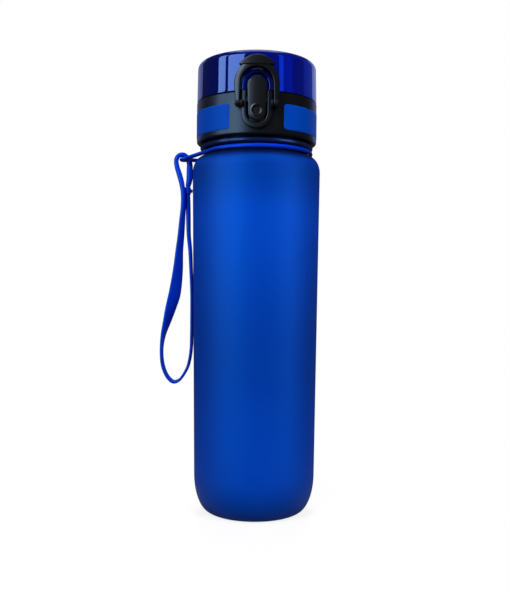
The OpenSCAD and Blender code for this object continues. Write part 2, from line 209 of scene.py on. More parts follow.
def shell_with_gaps(name, outer, inner, gap_test, material, body, steps=300):
    """A revolved shell between two (r, z) lines of one count, without the cells that gap_test names.

    gap_test(degrees, z) is asked at the middle of each cell. Cut edges get walls, so the mesh stays closed.
    """
    rows = len(outer)
    verts = []
    for line in (outer, inner):
        for r, z in line:
            for k in range(steps):
                a = math.radians(360.0 * k / steps)
                verts.append((r * math.cos(a), r * math.sin(a), z))

    def vert(side, row, k):
        return (side * rows + row) * steps + k % steps

    def solid(row, k):
        if not 0 <= row < rows - 1:
            return False
        middle_z = (outer[row][1] + outer[row + 1][1]) / 2
        return not gap_test(360.0 * ((k % steps) + 0.5) / steps, middle_z)

    faces = []
    for row in range(rows - 1):
        for k in range(steps):
            if not solid(row, k):
                continue
            for side in (0, 1):
                faces.append((vert(side, row, k), vert(side, row, k + 1),
                              vert(side, row + 1, k + 1), vert(side, row + 1, k)))
            walls = (((row - 1, k), (row, k), (row, k + 1)), ((row + 1, k), (row + 1, k), (row + 1, k + 1)),
                     ((row, k - 1), (row, k), (row + 1, k)), ((row, k + 1), (row, k + 1), (row + 1, k + 1)))
            for neighbour, a, b in walls:
                if not solid(*neighbour):
                    faces.append((vert(0, *a), vert(0, *b), vert(1, *b), vert(1, *a)))
    used = sorted({v for f in faces for v in f})
    place = {v: i for i, v in enumerate(used)}
    return mesh_object(name, [verts[v] for v in used], [tuple(place[v] for v in f) for f in faces],
                       material, body)


def on_front(x, z, r):
    """A point at that height and sideways place on the latch side, r from the axis."""
    return (x, -math.sqrt(max(r * r - x * x, 0.0)), z)


def front_band(name, line, r_back, r_face, bevel, material, body):
    """A moulded band with rounded edges, along a line of (x, z, half width) points on the latch side."""
    verts = []
    last = len(line) - 1
    for i, (x, z, half) in enumerate(line):
        ahead, behind = line[min(i + 1, last)], line[max(i - 1, 0)]
        tx, tz = ahead[0] - behind[0], ahead[1] - behind[1]
        size = math.hypot(tx, tz)
        nx, nz = -tz / size, tx / size
        section = [(-half, r_back)] + arc(bevel - half, r_face - bevel, bevel, bevel, 180, 90, 4)
        section += [(0.0, r_face)] + arc(half - bevel, r_face - bevel, bevel, bevel, 90, 0, 4)
        section += [(half, r_back)]
        for off, r in section:
            verts.append(on_front(x + nx * off, z + nz * off, r))
    return mesh_object(name, verts, tube_faces(len(line), len(section)), material, body)


def u_band(mid, half, legs, bend_z, way):
    """The line of a U-shaped band: along one leg's heights, round the bend (way 1 up, -1 down) and back."""
    line = [(-mid, z) for z in legs] + arc(0, bend_z, -mid, way * mid, 0, 180, 20)
    line += [(mid, z) for z in reversed(legs)]
    return [(x, z, half) for x, z in line]


def front_plate(name, outline, spine, r_back, r_face, bevel, material, body, loops, relief=None):
    """A moulded plate on the latch side: an outline of (x, z) points filled in towards its spine.

    spine(x, z) is the point inside that an outline point runs to. relief(x, z) adds to the face's radius.
    """
    verts, faces = [], []
    count = len(outline)
    levels = [(0.0, r_back)]
    for s in range(5):
        a = math.radians(90 * s / 4)
        levels.append((bevel * (1 - math.cos(a)), r_face - bevel + bevel * math.sin(a)))
    for x, z in outline:
        sx, sz = spine(x, z)
        length = math.hypot(sx - x, sz - z)
        ux, uz = (sx - x) / length, (sz - z) / length
        column = [(x + ux * d, z + uz * d, r) for d, r in levels]
        for s in range(1, loops + 1):
            d = bevel + (length - bevel) * s / loops
            column.append((x + ux * d, z + uz * d, r_face))
        for px, pz, r in column:
            lift = relief(px, pz) if relief and r == r_face else 0.0
            verts.append(on_front(px, pz, r + lift))
    tall = len(verts) // count
    for i in range(count):
        n = (i + 1) % count
        for j in range(tall - 1):
            faces.append((i * tall + j, n * tall + j, n * tall + j + 1, i * tall + j + 1))
    faces.append(tuple(i * tall for i in range(count)))
    return mesh_object(name, verts, faces, material, body)


def block_pair(name, outline, x0, x1, bevel, material, body):
    """A block with the given (y, z) outline from x0 to x1 and its mirror image, with rounded edges."""
    verts, faces = [], []
    for side in (1, -1):
        faces += tube_faces(2, len(outline), first=len(verts))
        for x in (x0, x1):
            verts += [(side * x, y, z) for y, z in outline]
    obj = mesh_object(name, verts, faces, material, body)
    soften(obj, bevel)
    return obj


def soften(obj, width, segments=3, angle=35.0):
    """Rounds a piece's sharp edges."""
    modifier = obj.modifiers.new("soft_edges", "BEVEL")
    modifier.width = width * MM
    modifier.segments = segments
    modifier.limit_method = "ANGLE"
    modifier.angle_limit = math.radians(angle)
    modifier.harden_normals = True


def swept_section(name, path, section, material, body, closed=False):
    """Sweeps a section along a path of millimetre points.

    section(i) gives [(along width, along thickness)]. A path point is x, y, z and the turn in degrees of the
    width out of the Y direction, or out of the Z direction where the path is closed.
    """
    verts = []
    count = len(path)
    side = Vector((0, 0, 1)) if closed else Vector((0, 1, 0))
    for i, p in enumerate(path):
        ahead = path[(i + 1) % count] if closed else path[min(i + 1, count - 1)]
        behind = path[i - 1] if closed or i else path[0]
        t = (Vector(ahead[:3]) - Vector(behind[:3])).normalized()
        n = t.cross(side).normalized()
        y = n.cross(t).normalized()
        turn = math.radians(p[3])
        w = math.cos(turn) * y + math.sin(turn) * n
        d = t.cross(w).normalized()
        for a, b in section(i):
            verts.append(tuple(Vector(p[:3]) + a * w + b * d))
    return mesh_object(name, verts, tube_faces(count, len(section(0)), closed), material, body)


# ---- materials ----

CLOUD_SCALE = 35                   # clouds of colour and gloss, to a metre
GLOSS_SPREAD = 0.12                # share by which the roughness varies
GRAIN_DEPTH = 0.02                 # millimetres


def plastic(name, colour, roughness, grain=0.0, grain_size=0.3, wear=0.04, **inputs):
    """A moulded material: a base colour that drifts slightly, uneven gloss, and a fine surface grain."""
    material = bpy.data.materials.new(name)
    material.use_nodes = True
    nodes, links = material.node_tree.nodes, material.node_tree.links
    shader = nodes["Principled BSDF"]
    for key, value in inputs.items():
        shader.inputs[key.replace("_", " ").title().replace("Ior", "IOR")].default_value = value
    place = nodes.new("ShaderNodeTexCoord")

    cloud = nodes.new("ShaderNodeTexNoise")
    cloud.inputs["Scale"].default_value = CLOUD_SCALE
    cloud.inputs["Detail"].default_value = 3
    links.new(place.outputs["Object"], cloud.inputs["Vector"])

    shade = nodes.new("ShaderNodeMix")
    shade.data_type = "RGBA"
    shade.inputs[6].default_value = tuple(c * (1 - wear) for c in colour) + (1,)
    shade.inputs[7].default_value = tuple(min(c * (1 + wear) + 0.001, 1) for c in colour) + (1,)
    links.new(cloud.outputs["Fac"], shade.inputs[0])
    links.new(shade.outputs[2], shader.inputs["Base Color"])

    gloss = nodes.new("ShaderNodeMapRange")
    gloss.inputs["To Min"].default_value = roughness * (1 - GLOSS_SPREAD)
    gloss.inputs["To Max"].default_value = roughness * (1 + GLOSS_SPREAD)
    links.new(cloud.outputs["Fac"], gloss.inputs["Value"])
    links.new(gloss.outputs["Result"], shader.inputs["Roughness"])

    if grain:
        fine = nodes.new("ShaderNodeTexNoise")
        fine.inputs["Scale"].default_value = 1 / (grain_size * MM)
        fine.inputs["Detail"].default_value = 2
        links.new(place.outputs["Object"], fine.inputs["Vector"])
        bump = nodes.new("ShaderNodeBump")
        bump.inputs["Strength"].default_value = grain
        bump.inputs["Distance"].default_value = GRAIN_DEPTH * MM
        links.new(fine.outputs["Fac"], bump.inputs["Height"])
        links.new(bump.outputs["Normal"], shader.inputs["Normal"])
    return material


def paint_shade_by_height(material, stops):
    """Paints shade into a material's colour along Z, scaling it by (height in millimetres, factor) stops,
    lowest first.
    """
    nodes, links = material.node_tree.nodes, material.node_tree.links
    colour = nodes["Principled BSDF"].inputs["Base Color"]
    place = nodes.new("ShaderNodeTexCoord")
    split = nodes.new("ShaderNodeSeparateXYZ")
    links.new(place.outputs["Object"], split.inputs["Vector"])
    top = stops[-1][0]
    part = nodes.new("ShaderNodeMapRange")
    part.inputs["From Max"].default_value = top * MM
    links.new(split.outputs["Z"], part.inputs["Value"])
    ramp = nodes.new("ShaderNodeValToRGB")
    ramp.color_ramp.interpolation = "EASE"
    while len(ramp.color_ramp.elements) < len(stops):
        ramp.color_ramp.elements.new(0.5)
    for element, (height, factor) in zip(ramp.color_ramp.elements, stops):
        element.position = height / top
        element.color = (factor, factor, factor, 1)
    links.new(part.outputs["Result"], ramp.inputs["Fac"])
    product = nodes.new("ShaderNodeMix")
    product.data_type = "RGBA"
    product.blend_type = "MULTIPLY"
    product.inputs[0].default_value = 1.0
    links.new(colour.links[0].from_socket, product.inputs[6])
    links.new(ramp.outputs["Color"], product.inputs[7])
    links.new(product.outputs[2], colour)


FROST = plastic("frosted_blue", (0.0002, 0.055, 0.52), 0.5, grain=0.35, grain_size=0.25, wear=0.06,
                specular_ior_level=0.5, specular_tint=(0.02, 0.4, 1, 1))
# Painted shade along the body as (height, factor): darker at the foot, in the middle and towards the
# shoulder, where the lid and cord shade it, and nearly black at the shoulder's top.
BODY_PAINTED_SHADE = ((4, 0.78), (34, 1.0), (92, 0.74), (160, 1.0), (184, 0.62), (190, 0.58), (193.8, 0.05))
paint_shade_by_height(FROST, BODY_PAINTED_SHADE)
# Opaque dark navy for the neck and its thread: it stands for clear plastic over the lid's dark core and
# paints in the shade under the collar.
NECK_NAVY = plastic("clear_neck", (0.003, 0.012, 0.05), 0.25, grain=0.1, wear=0.06,
                    specular_ior_level=0.4, specular_tint=(0.3, 0.5, 1, 1))
SATIN_BLACK = plastic("satin_black", (0.004, 0.0045, 0.006), 0.34, grain=0.25, grain_size=0.3,
                      specular_ior_level=0.42, specular_tint=(0.65, 0.82, 1, 1))
BUTTON_BLACK = plastic("button_black", (0.0045, 0.005, 0.006), 0.3, grain=0.2, grain_size=0.25,
                       specular_ior_level=0.42, specular_tint=(0.8, 0.9, 1, 1))
PANEL_BLUE = plastic("panel_blue", (0.0002, 0.055, 0.45), 0.5, grain=0.3, grain_size=0.3,
                     specular_ior_level=0.15, specular_tint=(0.1, 0.45, 1, 1))
CAP_BLUE = plastic("clear_blue", (0.0002, 0.003, 0.11), 0.03, wear=0.02, transmission_weight=0.2, ior=1.5,
                   specular_ior_level=0.9, specular_tint=(0.05, 0.25, 1, 1), coat_weight=0.55,
                   coat_roughness=0.015)
LINER = plastic("liner_navy", (0.002, 0.003, 0.03), 0.2, wear=0.1, specular_ior_level=0.5)
SILICONE_BLUE = plastic("strap_silicone", (0.0004, 0.032, 0.54), 0.32, grain=0.15, grain_size=0.4,
                        specular_ior_level=0.3, specular_tint=(0.1, 0.6, 1, 1))
SILICONE_CLEAR = plastic("milky_silicone", (0.62, 0.63, 0.64), 0.45, grain=0.2, grain_size=0.4)
CORE_BLACK = plastic("core_black", (0.02, 0.021, 0.024), 0.4, grain=0.25, grain_size=0.3)
STEEL = plastic("bright_steel", (0.55, 0.55, 0.57), 0.25, grain=0.1, grain_size=0.15, metallic=1.0)
BLACK_STEEL = plastic("blackened_steel", (0.03, 0.03, 0.032), 0.35, grain=0.1, grain_size=0.15, metallic=1.0)


# ---- camera ----

def make_camera():
    """A product shot level with the bottle's middle, looking slightly down and rolled half a degree."""
    lens, distance, downward, roll = 46.3, 0.424, 0.7, -0.46
    data = bpy.data.cameras.new("camera")
    data.sensor_width = 36
    data.lens = lens
    data.clip_start = 0.01
    camera = bpy.data.objects.new("camera", data)
    bpy.context.scene.collection.objects.link(camera)
    camera.location = (-0.0002, -distance, 0.5 * cad_high.z + 0.00065)
    camera.rotation_mode = "XYZ"
    camera.rotation_euler = (math.radians(90 - downward), math.radians(roll), 0.0)
    bpy.context.scene.camera = camera


make_camera()


# ---- wrist strap and neck loop ----

FLAT_W, FLAT_T, ROUND_H = 3.5, 0.75, 1.3
END_ROUND = 0.96                   # how round the strap's edges are, 1 for a full half circle

# The strap's route: x, y, z, turn of the width, half width, half thickness, as in the model's source.
STRAP_ROUTE = [
    (-38, 0, 178.6, 0, 1.3, 1.3),
    (-37.1, 0, 183, 0, 1.6, 1.75),
    (-37, 0, 188, 0, 1.6, 1.75),
    (-37.1, 0, 191.8, 0, 1.5, 1.6),
    (-38.3, 0, 194.9, 0, ROUND_H, ROUND_H),
    (-40, 0, 196.4, 0, ROUND_H, ROUND_H),
    (-42, 0, 196.6, 0, ROUND_H, ROUND_H),
    (-43.8, 0, 195.4, 0, ROUND_H, ROUND_H),
    (-44.5, 0, 193, 0, ROUND_H, ROUND_H),
    (-43.9, -0.3, 189.5, 0, 1.4, 1.4),
    (-42.6, -0.9, 185.5, 0, 1.5, 1.5),
    (-41.2, -1.9, 180.5, 0, 1.45, 1.45),
    (-40.3, -2.6, 175, 20, 1.4, 1.3),
    (-40.2, -2.6, 168, 40, 1.5, 1.2),
    (-40.8, -2, 160, 55, 1.8, 1),
    (-41.5, -1.4, 151.5, 60, 2, 1),
    (-42.4, -0.8, 143, 60, 2.3, 0.95),
    (-43.2, -0.4, 132, 62, 3, 0.85),
    (-44.8, 0, 120, 66, FLAT_W, FLAT_T),
    (-46.8, 0, 112.3, 52, FLAT_W, FLAT_T),
    (-48.9, 0, 104.5, 30, FLAT_W, FLAT_T),
    (-51, 0, 96.6, 10, FLAT_W, FLAT_T),
    (-51.95, 0, 88.8, 0, FLAT_W, FLAT_T),
    (-51.5, 0, 81, 0, FLAT_W, FLAT_T),
    (-49.6, 0, 75, 0, FLAT_W, FLAT_T),
    (-47, 0, 71.4, 0, FLAT_W, FLAT_T),
    (-44.6, 0, 70.3, 0, FLAT_W, FLAT_T),
    (-41.8, 0, 71.5, 0, FLAT_W, FLAT_T),
    (-39.2, 0, 75, 0, FLAT_W, FLAT_T),
    (-36.9, 0, 80, 0, FLAT_W, FLAT_T),
    (-35.5, 0, 88, 0, FLAT_W, FLAT_T),
    (-35.25, 0, 96, 0, FLAT_W, FLAT_T),
    (-35.2, 0, 106, 0, FLAT_W, FLAT_T),
    (-35.3, 0, 120, 0, FLAT_W, FLAT_T),
    (-35.85, 0, 133, 0, 3.2, 0.85),
    (-36.4, 0, 143.5, 0, 2.8, 1),
    (-37.25, 0, 152, 0, 2.3, 1.1),
    (-37.5, 0, 160, 0, 1.9, 1.25),
    (-37.7, 0, 168, 0, 1.5, 1.35),
    (-37.9, 0, 174.4, 0, 1.3, 1.3),
]


def rounded_section(half_w, half_t):
    """A strap's section: a rectangle whose ends are round, 18 points."""
    r = END_ROUND * min(half_t, half_w)
    return arc(half_w - r, 0, r, half_t, -90, 90, 8) + arc(r - half_w, 0, r, half_t, 90, 270, 8)


def make_strap():
    line = smooth_line(STRAP_ROUTE, 7)
    strap = swept_section("wrist_strap_silicone", line, lambda i: rounded_section(line[i][4], line[i][5]),
                          SILICONE_BLUE, "strap")
    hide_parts("wrist_strap")
    clasp = make_clasp()


def make_clasp():
    """A round-edged post round the strap's two ends, with a knob on its +X side."""
    post_r, edge, around_knob = 1.8, 0.7, 24
    low, high = extent("strap_clasp")
    cx, mid = low[0] + post_r, (low[2] + high[2]) / 2
    outline = [(0.0, low[2])] + arc(post_r - edge, low[2] + edge, edge, edge, -90, 0, 5)
    outline += arc(post_r - edge, high[2] - edge, edge, edge, 0, 90, 5) + [(0.0, high[2])]
    clasp = revolve("strap_clasp_moulded", outline, SILICONE_BLUE, "strap", steps=40)
    for v in clasp.data.vertices:
        v.co.x += cx * MM
    knob_line = [(1.4, 0.7), (1.8, 0.75), (2.0, 1.0), (2.3, 1.1), (2.55, 0.9), (2.7, 0.5)]
    verts = []
    for x, r in knob_line:
        for k in range(around_knob):
            a = 2 * math.pi * k / around_knob
            verts.append((cx + x, r * math.cos(a), mid + r * math.sin(a)))
    faces = tube_faces(len(knob_line), around_knob)
    knob = mesh_object("strap_clasp_knob", verts, faces, SILICONE_BLUE, "strap")
    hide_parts("strap_clasp")
    return clasp


LOOP_R, LOOP_ROUND_R, LOOP_Z = 1.1, 30.0, 196.6
LOOP_TILT = 0.006                  # rise for each millimetre towards +X
BIGHT_X, BIGHT_R, BIGHT_DROP = -38.6, 3.0, 0.125
FULLER_BY, FULLER_OVER = 0.15, 12.0     # extra height, and the way along X over which it comes


def make_neck_loop():
    """The cord round the neck: a narrow bight at the strap's side, and a little taller away from it."""
    half = math.acos(LOOP_ROUND_R / math.hypot(BIGHT_X, BIGHT_R)) + math.atan(BIGHT_R / -BIGHT_X)
    start_x, start_y = -LOOP_ROUND_R * math.cos(half), LOOP_ROUND_R * math.sin(half)
    end = 180 - math.degrees(half)
    plan = arc(0, 0, LOOP_ROUND_R, LOOP_ROUND_R, -end, end, 96)
    plan += between((start_x, start_y), (BIGHT_X, BIGHT_R), 12)
    plan += arc(BIGHT_X, 0, BIGHT_R, BIGHT_R, 90, 270, 24)
    plan += between((BIGHT_X, -BIGHT_R), (start_x, -start_y), 12)
    path = [(x, y, LOOP_Z + LOOP_TILT * x - BIGHT_DROP * max(0.0, start_x - x), 0.0) for x, y in plan]

    def section(i):
        fuller = min(1.0, max(0.0, (path[i][0] - start_x) / FULLER_OVER))
        return arc(0, 0, LOOP_R + FULLER_BY * fuller, LOOP_R, 0, 360, 16)[:-1]

    loop = swept_section("neck_loop_silicone", path, section, SILICONE_BLUE, "loop", closed=True)
    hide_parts("neck_loop")


make_strap()
make_neck_loop()


# ---- bottle ----

def make_bottle():
    """The walled body, frosted up to the neck and opaque dark navy from there on, which stands for clear
    plastic over the lid's dark core and paints in the shade under the collar.
    """
    foot_r, corner_w, corner_h, push_up, wall = 33.3, 8.6, 20.3, 2.5, 1.8
    ring_w, ring_round = 3.2, 0.5
    neck_r, neck_round, mouth_r = 28.6, 0.5, 26.4
    shoulder_z, shoulder_h, shoulder_wall = 186.5, 8.7, 1.6
    bead_r, bead_round, bead_low, bead_high = 31.1, 1.3, 199.7, 200.1
    bead_foot, bead_top = 198.0, 201.5
    rim_out, rim_in, dark_neck_from = 0.8, 0.6, 195.6
    neck_foot = shoulder_z + shoulder_h + neck_round
    base = foot_r - corner_w
    outline = arc(0, 0, base - ring_w - ring_round, push_up, 90, 4, 12)
    outline += arc(base - ring_w, ring_round, ring_round, ring_round, 200, 270, 3)
    outline += arc(base, corner_h, corner_w, corner_h, -88, 0, 26)
    outline += between((foot_r, corner_h), (BODY_R, shoulder_z), 12)
    outline += arc(neck_r, shoulder_z, BODY_R - neck_r, shoulder_h, 0, 84, 18)
    outline += arc(neck_r + neck_round, neck_foot, neck_round, neck_round, -90, -180, 4)
    outline += [(neck_r, bead_foot)]
    outline += arc(bead_r - bead_round, bead_low, bead_round, bead_round, -90, 0, 7)
    outline += arc(bead_r - bead_round, bead_high, bead_round, bead_round, 0, 90, 7)
    outline += [(neck_r, bead_top), (neck_r, RIM_Z - rim_out)]
    outline += arc(neck_r - rim_out, RIM_Z - rim_out, rim_out, rim_out, 10, 90, 4)
    outline += arc(mouth_r + rim_in, RIM_Z - rim_in, rim_in, rim_in, 90, 180, 4)
    outline += arc(mouth_r, shoulder_z, BODY_R - wall - mouth_r, shoulder_h - shoulder_wall, 88, 0, 14)
    outline += arc(base, corner_h, corner_w - wall, corner_h - wall - push_up, 0, -90, 18)
    outline += [(0.0, wall + push_up)]
    body = revolve("bottle_body_frosted", outline, FROST, "bottle", steps=200, sharp=50)
    # Faces above the shoulder take the dark navy neck material, with its painted shade under the collar.
    body.data.materials.append(NECK_NAVY)
    for face in body.data.polygons:
        if face.center.z > dark_neck_from * MM:
            face.material_index = 1
    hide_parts("bottle_body")
    make_neck_thread(neck_r)


def make_neck_thread(neck_r):
    """Two screw ridges round the neck, each tapering away at its ends."""
    low, high, lead, starts = 204.6, 214.6, 9.0, 2
    height, half_w, crest_share, sunk, least, taper = 0.9, 1.15, 0.4, 0.3, 0.05, 12
    crest = crest_share * half_w
    verts, faces = [], []
    turns = (high - low) / lead
    steps = int(72 * turns)
    for start in range(starts):
        faces += tube_faces(steps + 1, 4, first=len(verts))
        for i in range(steps + 1):
            t = i / steps
            a = 2 * math.pi * (turns * t + start / starts)
            z = low + (high - low) * t
            tall = height * min(1.0, taper * t, taper * (1 - t)) + least
            for dr, dz in ((-sunk, -half_w), (tall, -crest), (tall, crest), (-sunk, half_w)):
                verts.append(((neck_r + dr) * math.cos(a), (neck_r + dr) * math.sin(a), z + dz))
    ridge = mesh_object("neck_thread", verts, faces, NECK_NAVY, "bottle", sharp=80)


make_bottle()


# ---- lid: collar, panels, core ----

FRAME_HW, HOLE_HW = 8.4, 6.0
FRAME_LOW_Z, FRAME_HIGH_Z = 213.4, 227.0
BAND_HW = (FRAME_HW - HOLE_HW) / 2
BAND_MID = (FRAME_HW + HOLE_HW) / 2
LOW_BAND_HW, LOW_BAND_MID = 1.4, 6.75


def from_front(degrees):
    """Angle away from the latch's direction, 0 to 180."""
    return abs((degrees - FRONT + 180) % 360 - 180)


def make_collar():
    """The collar's shell, open behind the latch and at the hinge, and the lower half of the latch's frame."""
    bore_r, edge, rim, seam = CORE_R - 1.0, 1.2, 0.35, 0.15
    latch_half, latch_low = 12.0, FRAME_LOW_Z - 5.5
    hinge_half, hinge_low = 18.2, HINGE_Z - 3.2
    top = JOINT_Z - seam
    straight = top - 0.4 - COLLAR_Z - edge
    outer = [(bore_r, COLLAR_Z + 0.4)]
    outer += arc(COLLAR_R - edge, COLLAR_Z + edge, edge, edge, -90, 0, 8)
    outer += [(COLLAR_R, COLLAR_Z + edge + straight * i / 24) for i in range(1, 25)]
    outer += arc(COLLAR_R - rim, top - rim, rim, rim, 0, 90, 3)
    inner = [(bore_r, min(z, top) + (0.3 if z < COLLAR_Z + 0.6 else 0.0)) for _, z in outer]

    def gap(degrees, z):
        away = from_front(degrees)
        in_latch = away < latch_half and z > latch_low
        in_hinge = away > 180 - hinge_half and z > hinge_low
        return in_latch or in_hinge

    collar = shell_with_gaps("lid_collar_shell", outer, inner, gap, SATIN_BLACK, "lid")
    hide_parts("lid_collar")
    legs = [JOINT_Z - 0.1 - 1.2 * i for i in range(9)]
    line = u_band(LOW_BAND_MID, LOW_BAND_HW, legs, FRAME_LOW_Z - 0.6, -1)
    frame_low = front_band("latch_frame", line, CORE_R - 0.5, 34.4, 0.7, SATIN_BLACK, "lid")


def make_panels():
    """Two rounded grip panels, a hair proud of the collar."""
    low, high = COLLAR_Z + 2.6, COLLAR_Z + 16.6
    corner, face_r, back_r, edge = 2.6, COLLAR_R + 0.12, COLLAR_R - 0.8, 0.35
    latch_away = 24.5                  # degrees from the latch's middle to a panel's end
    half_arc = math.radians(90 - latch_away) * COLLAR_R
    half_h = (high - low) / 2
    mid = (high + low) / 2
    for name, middle, node in (("grip_panel_left_skin", 180.0, "grip_panel_left"),
                               ("grip_panel_right_skin", 0.0, "grip_panel_right")):
        verts, faces = [], []
        cols, rows = 120, 24

        def point(u, v, r):
            a = math.radians(middle) + u / COLLAR_R
            verts.append((r * math.cos(a), r * math.sin(a), mid + v))

        for i in range(cols + 1):
            u = -half_arc + 2 * half_arc * i / cols
            inside = max(0.0, abs(u) - (half_arc - corner))
            reach = half_h - corner + math.sqrt(max(corner * corner - inside * inside, 0.0))
            for j in range(rows + 1):
                s = -1 + 2 * j / rows
                v = reach * s
                rim = min(half_arc - abs(u), reach - abs(v))
                drop = edge * (1 - math.sqrt(max(0.0, 1 - (1 - min(rim / edge, 1.0)) ** 2)))
                point(u, v, face_r - drop)
        tall = rows + 1
        for i in range(cols):
            for j in range(rows):
                faces.append((i * tall + j, (i + 1) * tall + j, (i + 1) * tall + j + 1, i * tall + j + 1))
        front_count = len(verts)
        for x, y, z in list(verts):
            scale = back_r / math.hypot(x, y)
            verts.append((x * scale, y * scale, z))
        faces += [tuple(front_count + v for v in reversed(f)) for f in faces[:cols * rows]]
        rim_loop = [i * tall for i in range(cols + 1)] + [cols * tall + j for j in range(1, tall)]
        rim_loop += [i * tall + rows for i in range(cols - 1, -1, -1)] + list(range(rows - 1, 0, -1))
        for a, b in zip(rim_loop, rim_loop[1:] + rim_loop[:1]):
            faces.append((a, b, front_count + b, front_count + a))
        panel = mesh_object(name, verts, faces, PANEL_BLUE, "lid", sharp=60)
        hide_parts(node)


def make_hinge():
    """The collar's two outer knuckles and the flip cap's two inner ones."""
    def knuckle(top, bottom):
        return arc(HINGE_Y, HINGE_Z, 2.6, 2.6, top, bottom, 18)

    base = knuckle(150, -8) + [(HINGE_Y + 2.6, 221.2), (33.4, 216), (32.2, 215.2), (32.2, 222)]
    base_part = block_pair("hinge_knuckles_collar", base, 6.5, 10.0, 0.35, SATIN_BLACK, "lid")
    cap = knuckle(40, -200) + [(31.4, HINGE_Z + 5.2), (HINGE_Y, HINGE_Z + 5.2)]
    cap_part = block_pair("hinge_knuckles_cap", cap, 3.0, 6.2, 0.3, CAP_BLUE, "cap")


def make_core():
    """The threaded core with its deck and spout."""
    bore, low, deck_low, deck = 29.75, 203.5, 219.4, 221.6
    spout_r, spout_z = 12.5, 234.0
    side_r, edge, root = CORE_R - 0.1, 0.4, 1.8
    groove_out, groove_in, groove_floor = CORE_R - 2.4, CORE_R - 4.6, deck - 0.5
    outline = [(bore, low + edge), (bore + edge, low), (side_r, low), (side_r, deck - edge),
               (side_r - edge, deck), (groove_out, deck), (groove_out - edge, groove_floor),
               (groove_in + edge, groove_floor), (groove_in, deck)]
    outline += arc(spout_r + root, deck + root, root, root, -90, -180, 6)
    outline += [(spout_r, spout_z - 4.2)]
    outline += arc(spout_r, spout_z - 3.6, 0.45, 0.45, -90, 90, 6)
    outline += arc(spout_r - 1, spout_z - 1, 1, 1, 0, 180, 12)
    outline += [(spout_r - 2, deck_low + 0.6), (spout_r - 1.4, deck_low), (bore - 0.1, deck_low),
                (bore, deck_low - 0.1)]
    core = revolve("lid_core_moulded", outline, CORE_BLACK, "lid", steps=160)
    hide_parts("lid_core")


make_collar()
make_panels()
make_hinge()
make_core()


# ---- flip cap ----

def make_cap():
    """The cap's shell, open at the hinge, and the raised arch over the button."""
    fillet, wall, low_r, high_r, edge = 3.5, 1.8, 32.9, 32.6, 0.3
    low, knee = JOINT_Z + 0.3, TOP_Z - fillet
    hinge_half, hinge_high = 19.0, HINGE_Z + 3.25
    least_r = 0.15                     # where the roof's inner face stops short of the axis
    outer = arc(low_r - edge, low + edge, edge, edge, -90, 0, 3)
    outer += between((low_r, low + edge), (high_r, knee), 20)
    outer += arc(high_r - fillet, knee, fillet, fillet, 0, 90, 14)
    outer += [((high_r - fillet) * (1 - t), TOP_Z) for t in (0.25, 0.5, 0.75, 0.995)]
    inner = []
    for r, z in outer:
        risen = max(0.0, z - knee) / fillet
        inner.append((max(r - wall * (1 - risen), least_r), z - wall * risen))

    def gap(degrees, z):
        return from_front(degrees) > 180 - hinge_half and z < hinge_high

    cap = shell_with_gaps("flip_cap_shell", outer, inner, gap, CAP_BLUE, "cap")
    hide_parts("flip_cap")
    legs = [JOINT_Z + 0.35 + 0.7 * i for i in range(4)]
    line = u_band(BAND_MID, BAND_HW, legs, FRAME_HIGH_Z, 1)
    arch = front_band("flip_cap_arch", line, 31.8, 34.2, 0.8, CAP_BLUE, "cap")


make_cap()


# ---- latch ----

def make_button():
    """The thumb button with its dimple, and the barrels that its pin runs through."""
    high_z, low_z, high_r, low_r = 226.45, 213.1, 5.05, 4.5
    dimple_z, dimple_r, dish_depth, dish_slope = 213.8, 2.7, 0.7, 0.9
    crown, lip_height, lip_w = 0.25, 0.28, 0.3
    pin_r, barrel_r, barrel_back = 0.7, 1.4, 1.7
    outline = arc(0, high_z, high_r, high_r, 0, 180, 30)
    outline += between((-high_r, high_z), (-low_r, low_z), 44)
    outline += arc(0, low_z, low_r, low_r, 180, 360, 30)
    outline += between((low_r, low_z), (high_r, high_z), 44)

    def spine(x, z):
        return 0.0, min(max(z, low_z), high_z)

    def relief(x, z):
        away = math.hypot(x, z - dimple_z)
        dish = -dish_depth * min(1.0, max(0.0, (dimple_r - away) / dish_slope)) ** 0.7
        lip = lip_height * math.exp(-((away - dimple_r - 0.1) / lip_w) ** 2)
        return crown * (1 - (x / high_r) ** 2) + dish + lip

    button = front_plate("latch_button_cap", outline, spine, 34.3, 35.0, 0.5, BUTTON_BLACK, "button",
                         loops=20, relief=relief)
    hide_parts("latch_button")
    pin_low, _ = extent("latch_pin")
    pin_y, pin_z = pin_low[1] + pin_r, pin_low[2] + pin_r
    barrel = arc(pin_y, pin_z, barrel_r, barrel_r, 90, -90, 14)
    barrel += [(pin_y - barrel_back, pin_z - barrel_r), (pin_y - barrel_back, pin_z + barrel_r)]
    ears = block_pair("latch_button_barrels", barrel, 2.3, 5.2, 0.2, BUTTON_BLACK, "button")


